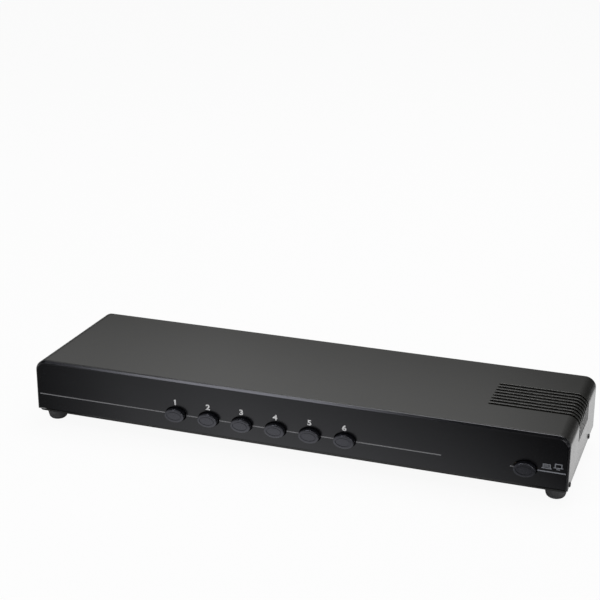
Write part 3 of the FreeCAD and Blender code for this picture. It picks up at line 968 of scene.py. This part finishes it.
def line_stretches():
    """The left and right ends of each piece of the line."""
    stretches = []
    left = LINE_LEFT
    for place in list(button_places.values())[:-1]:
        stretches.append((left, place.x - HOLE_CLEARANCE))
        left = place.x + HOLE_CLEARANCE
    stretches.append((left, LINE_STOP))
    stretches.append(DASH)
    return stretches


def line_bar(left, right):
    middle = button_row - LINE_DROP
    return print_bar(left, right, middle - LINE_WIDTH / 2, middle + LINE_WIDTH / 2)


bars = [line_bar(left, right) for left, right in line_stretches()]
finish_print(bars, "printed_line", print_grey)
print("pieces of line", len(bars))

# %% [markdown]
# To the right of the last button the line is paler, and two small signs stand on it. They
# show a button on its base, once filled with a hatch and once open, with a short bar below
# it. Both are made of a few bars: a base, two uprights and a top.

# %% Signs for out and in
SIGN_BAR = 0.55 * MM
SIGN_INSET = 1.1 * MM
HATCH = 0.4 * MM
LINE_MARGIN = 0.3 * MM
HATCHED_SIGN = (190.8 * MM, 198.0 * MM, 2.3 * MM, 5.3 * MM)     # left, right, base, top
HATCH_ENDS = (192.4 * MM, 196.4 * MM)
HATCH_RISES = (3.2 * MM, 4.1 * MM)
OPEN_SIGN = (199.2 * MM, 206.0 * MM, 3.6 * MM, 6.5 * MM)
SHORT_BAR = (201.3 * MM, 203.9 * MM, 2.2 * MM, 2.7 * MM)


def print_sign(left, right, base, top):
    """A base with a button on it, drawn as two uprights and a top over the buttons' row."""
    half = SIGN_BAR / 2
    base += button_row
    top += button_row
    near = left + SIGN_INSET
    far = right - SIGN_INSET
    return [
        print_bar(left, right, base - half, base + half),
        print_bar(near - half, near + half, base + half, top - half),
        print_bar(far - half, far + half, base + half, top - half),
        print_bar(near - half, far + half, top - half, top + half),
    ]


def print_signs():
    last = button_places["button_protection"].x
    plate_end = half_width - PLATE_BEVEL - LINE_MARGIN
    bars = [line_bar(last + HOLE_CLEARANCE, plate_end)]
    bars += print_sign(*HATCHED_SIGN)
    for rise in HATCH_RISES:
        bars.append(print_bar(*HATCH_ENDS, button_row + rise, button_row + rise + HATCH))
    bars += print_sign(*OPEN_SIGN)
    left, right, low, high = SHORT_BAR
    bars.append(print_bar(left, right, button_row + low, button_row + high))
    return bars


signs = print_signs()
finish_print(signs, "printed_signs", print_pale)
print("bars in the signs", len(signs) - 1)

# %% [markdown]
# ## Studio
# The object stands on a pale floor that is white to the camera and keeps a soft shadow.
# Glossy black shows its surroundings more than its own colour, so the surroundings are
# built with care: a floor, a world that fades from paper white to a dim ceiling, a few
# cards that only reflections see, and two softboxes.


# %% Rays that see the backdrop, and ramps of grey
def seen_directly(nodes, link):
    """A mask that is 1 for camera, glossy and transmission rays."""
    path = nodes.new("ShaderNodeLightPath")
    mask = path.outputs["Is Camera Ray"]
    for name in ("Is Glossy Ray", "Is Transmission Ray"):
        either = nodes.new("ShaderNodeMath")
        either.operation = "MAXIMUM"
        link(mask, either.inputs[0])
        link(path.outputs[name], either.inputs[1])
        mask = either.outputs[0]
    return mask


def tone_ramp(nodes, tones):
    """A colour ramp through greys, each given as its position and its brightness."""
    ramp = nodes.new("ShaderNodeValToRGB")
    while len(ramp.color_ramp.elements) < len(tones):
        ramp.color_ramp.elements.new(0.5)
    for element, (position, grey) in zip(ramp.color_ramp.elements, tones):
        element.position = position
        element.color = (grey, grey, grey, 1)
    return ramp


# %% [markdown]
# The floor is one large plane. A camera sees it nearly white, as a lit sheet of paper, and
# the light that falls on the object meets a plain pale floor.

# %% Floor
FLOOR_SIZE = 30
FLOOR_TONE = 0.82
FLOOR_ROUGHNESS = 0.9
FLOOR_GLOW = 0.93


def build_floor():
    bpy.ops.object.select_all(action="DESELECT")
    bpy.ops.mesh.primitive_plane_add(size=FLOOR_SIZE, location=(0, 0, 0))
    floor = settle(bpy.context.object, "floor")
    material = bpy.data.materials.new("pale_floor")
    material.use_nodes = True
    nodes = material.node_tree.nodes
    link = material.node_tree.links.new
    shader = nodes["Principled BSDF"]
    shader.inputs["Base Color"].default_value = (FLOOR_TONE, FLOOR_TONE, FLOOR_TONE, 1)
    shader.inputs["Roughness"].default_value = FLOOR_ROUGHNESS
    glow = nodes.new("ShaderNodeEmission")
    share = nodes.new("ShaderNodeMath")
    share.operation = "MULTIPLY"
    share.inputs[1].default_value = FLOOR_GLOW
    mix = nodes.new("ShaderNodeMixShader")
    link(seen_directly(nodes, link), share.inputs[0])
    link(share.outputs[0], mix.inputs["Fac"])
    link(shader.outputs["BSDF"], mix.inputs[1])
    link(glow.outputs["Emission"], mix.inputs[2])
    link(mix.outputs["Shader"], nodes["Material Output"].inputs["Surface"])
    floor.data.materials.append(material)


build_floor()
print("floor", FLOOR_SIZE, "metres wide, tone", FLOOR_TONE)

# %% [markdown]
# The world around is a plain grey light for the surfaces themselves. Reflections see a
# paper sweep instead, which is white at the horizon and fades upward and to the right.

# %% World
ROOM_LIGHT = 0.45
SWEEP = ((0.0, 1.0), (0.10, 0.98), (0.22, 0.70), (0.40, 0.50), (0.60, 0.10), (0.75, 0.01))
SIDEWAYS = ((0.0, 0.6), (0.3, 0.8), (0.45, 0.6), (0.60, 0.35), (1.0, 0.3))


def build_world():
    world = bpy.data.worlds.new("studio")
    bpy.context.scene.world = world
    world.use_nodes = True
    nodes = world.node_tree.nodes
    link = world.node_tree.links.new
    room = nodes["Background"]
    room.inputs["Color"].default_value = (1, 1, 1, 1)
    room.inputs["Strength"].default_value = ROOM_LIGHT
    place = nodes.new("ShaderNodeTexCoord")
    parts = nodes.new("ShaderNodeSeparateXYZ")
    upward = tone_ramp(nodes, SWEEP)
    across = tone_ramp(nodes, SIDEWAYS)
    halved = nodes.new("ShaderNodeMath")
    halved.operation = "MULTIPLY_ADD"
    halved.inputs[1].default_value = 0.5
    halved.inputs[2].default_value = 0.5
    both, both_a, both_b, product = colour_mix(nodes, "MULTIPLY")
    both.inputs["Factor"].default_value = 1.0
    path = nodes.new("ShaderNodeLightPath")
    paper, ramp_side, white_side, seen = colour_mix(nodes)
    white_side.default_value = (1, 1, 1, 1)
    sweep = nodes.new("ShaderNodeBackground")
    mix = nodes.new("ShaderNodeMixShader")
    link(place.outputs["Generated"], parts.inputs[0])
    link(parts.outputs["Z"], upward.inputs["Fac"])
    link(parts.outputs["X"], halved.inputs[0])
    link(halved.outputs[0], across.inputs["Fac"])
    link(upward.outputs["Color"], both_a)
    link(across.outputs["Color"], both_b)
    link(path.outputs["Is Camera Ray"], paper.inputs["Factor"])
    link(product, ramp_side)
    link(seen, sweep.inputs["Color"])
    link(seen_directly(nodes, link), mix.inputs["Fac"])
    link(room.outputs["Background"], mix.inputs[1])
    link(sweep.outputs["Background"], mix.inputs[2])
    link(mix.outputs["Shader"], nodes["World Output"].inputs["Surface"])


build_world()
print("tones of the sweep", len(SWEEP), "upward and", len(SIDEWAYS), "sideways")

# %% [markdown]
# A black plate mirrors the floor just in front of it, and the top mirrors what stands behind
# the case. Glowing cards lie and stand there in tones that run from dark to white. They paint
# the reflections: a painted sheen in the middle of each surface and painted shade at its ends.
# A bright strip overhead paints a thin highlight along every edge that is rounded. Only
# reflections see them.

# %% Tones of the cards
SHEEN_TONES = ((0.0, 0.03), (0.20, 0.07), (0.25, 0.16), (0.30, 0.38), (0.345, 0.67),
               (0.39, 0.80), (0.44, 1.0), (0.50, 0.91), (0.55, 0.81), (0.60, 0.67),
               (0.65, 0.52), (0.70, 0.33), (0.74, 0.12), (0.80, 0.03), (1.0, 0.02))
SHEEN_FADE = ((0.0, 0.45), (0.78, 0.60), (1.0, 1.0))
SHADOW_TONES = ((0.0, 0.02), (0.06, 0.02), (0.10, 0.15), (0.90, 0.15), (0.94, 0.02),
                (1.0, 0.02))
BACK_TONES = ((0.0, 0.55), (0.27, 0.72), (0.40, 1.0), (0.49, 0.92), (0.667, 0.80), (0.742, 0.46),
              (0.83, 0.28), (1.0, 0.2))
BACK_FADE = ((0.0, 0.10), (0.25, 0.12), (0.375, 0.28), (0.41, 0.46), (0.45, 0.60), (0.55, 0.80),
             (1.0, 0.80))
EVEN = ((0.0, 1.0), (1.0, 1.0))
print("tones across the sheen", len(SHEEN_TONES), "and the back", len(BACK_TONES))

# %% [markdown]
# Every card is made by the same function: a plane at its place, and a glowing material
# whose brightness is the product of two ramps, one across the card and one along it.


# %% One card
def ranged(nodes, link, source, low, high):
    """Maps a coordinate from a range to 0 to 1."""
    span = nodes.new("ShaderNodeMapRange")
    span.inputs["From Min"].default_value = low
    span.inputs["From Max"].default_value = high
    link(source, span.inputs["Value"])
    return span.outputs["Result"]


def add_card(name, low, high, across, away, strength=1.0, lean=0.0):
    """A glowing card between two corners, seen by glossy rays alone.

    It lies flat, or stands when its corners share their Y. Its tones run across it along X,
    and away from the floor's near edge or up from its foot. A lean slides the first tones
    along X with the distance from the front plate."""
    low = Vector(low)
    high = Vector(high)
    standing = abs(high.y - low.y) < MM
    size = high - low
    bpy.ops.object.select_all(action="DESELECT")
    bpy.ops.mesh.primitive_plane_add(size=1, location=(low + high) / 2,
                                     rotation=(math.pi / 2 if standing else 0, 0, 0))
    card = bpy.context.object
    card.scale = (size.x, size.z if standing else size.y, 1)
    settle(card, name)
    material = bpy.data.materials.new(name + "_tones")
    material.use_nodes = True
    nodes = material.node_tree.nodes
    link = material.node_tree.links.new
    nodes.remove(nodes["Principled BSDF"])
    place = nodes.new("ShaderNodeTexCoord")
    parts = nodes.new("ShaderNodeSeparateXYZ")
    slide = nodes.new("ShaderNodeMath")
    slide.operation = "MULTIPLY_ADD"
    slide.inputs[1].default_value = -lean
    depth = "Z" if standing else "Y"
    first = tone_ramp(nodes, across)
    second = tone_ramp(nodes, away)
    both, both_a, both_b, product = colour_mix(nodes, "MULTIPLY")
    both.inputs["Factor"].default_value = 1.0
    glow = nodes.new("ShaderNodeEmission")
    glow.inputs["Strength"].default_value = strength
    link(place.outputs["Object"], parts.inputs[0])
    link(parts.outputs["Y"], slide.inputs[0])
    link(parts.outputs["X"], slide.inputs[2])
    link(ranged(nodes, link, slide.outputs[0], low.x, high.x), first.inputs["Fac"])
    start, end = (low.z, high.z) if standing else (low.y, high.y)
    link(ranged(nodes, link, parts.outputs[depth], start, end), second.inputs["Fac"])
    link(first.outputs["Color"], both_a)
    link(second.outputs["Color"], both_b)
    link(product, glow.inputs["Color"])
    link(glow.outputs["Emission"], nodes["Material Output"].inputs["Surface"])
    card.data.materials.append(material)
    card.visible_camera = False
    card.visible_diffuse = False
    card.visible_shadow = False
    card.visible_transmission = False


# %% [markdown]
# The sheen card lies in front of the plate and paints a soft band of light into its reflection.
# The shadow card lies under the case, and the left and right cards beside it keep its lower
# edges dark: painted shade in the reflections. The back card is what the top mirrors. The
# bright card lies at the right-hand end, which is the palest surface of all, and paints its
# bright reflection. The window card at the front right paints highlights on the rims of the
# caps, and the edge strip hangs overhead.

# %% All cards
LEAN = 0.7
SLID = LEAN * (face_y - 36 * MM)
SHEEN_HALF = 0.45
SHEEN_LONG = 0.5
card_z = 0.5 * MM           # cards that lie stay just clear of the floor
card_near = face_y - 2 * MM
left_edge = -half_width - 4 * MM
right_edge = half_width + 3 * MM
bright_end = half_width + 45 * MM
CARDS = (
    ("sheen_card", (-SHEEN_HALF - SLID, card_near - SHEEN_LONG, card_z),
     (SHEEN_HALF - SLID, card_near, card_z), SHEEN_TONES, SHEEN_FADE, 1.15, LEAN),
    ("shadow_card", (-half_width, card_near, card_z), (right_edge, cover_high.y, card_z),
     SHADOW_TONES, EVEN),
    ("back_card", (-0.75, 0.45, 0.02), (0.45, 0.45, 0.55), BACK_TONES, BACK_FADE, 1.12),
    ("left_card", (-0.75, face_y, card_z), (left_edge, 0.44, card_z), EVEN, EVEN, 0.2),
    ("right_card", (bright_end, 0, card_z), (1.2, 1.5, card_z), EVEN, EVEN, 0.2),
    ("bright_card", (right_edge, face_y, card_z), (bright_end, 0.44, card_z), EVEN, EVEN, 1.25),
    ("window_card", (0.5, -0.9, 0.5), (1.5, -0.9, 1.0), EVEN, EVEN, 4.0),
    ("edge_strip", (-0.6, 0.15, 1.3), (0.5, 0.75, 1.3), EVEN, EVEN, 8.0),
)
for card in CARDS:
    add_card(*card)
print("cards", len(CARDS))

# %% [markdown]
# ## Lamps
# Two softboxes light the surfaces. The large one hangs overhead and draws the soft shadow
# under the feet. The small one stands in front and to the left, where the bevel of the
# plate finds it.


# %% Softboxes
def add_softbox(name, place, aim, size, watts, colour=(1, 1, 1)):
    lamp = bpy.data.objects.new(name, bpy.data.lights.new(name, "AREA"))
    bpy.context.scene.collection.objects.link(lamp)
    lamp.data.shape = "RECTANGLE"
    lamp.data.size, lamp.data.size_y = size
    lamp.data.energy = watts
    lamp.data.color = colour
    lamp.location = place
    lamp.rotation_euler = (Vector(aim) - Vector(place)).to_track_quat("-Z", "Y").to_euler()


SOFTBOXES = (
    ("bevel_softbox", (-0.45, -0.52, 1.05), (-0.05, -0.05, 0.05), (0.38, 0.30), 2.0,
     (0.94, 0.94, 1.0)),
    ("overhead_softbox", (0.3, 0.5, 1.8), (0, 0, 0), (1.6, 1.2), 14),
)
for softbox in SOFTBOXES:
    add_softbox(*softbox)
bpy.context.scene.view_settings.view_transform = "Standard"
print("softboxes", len(SOFTBOXES))
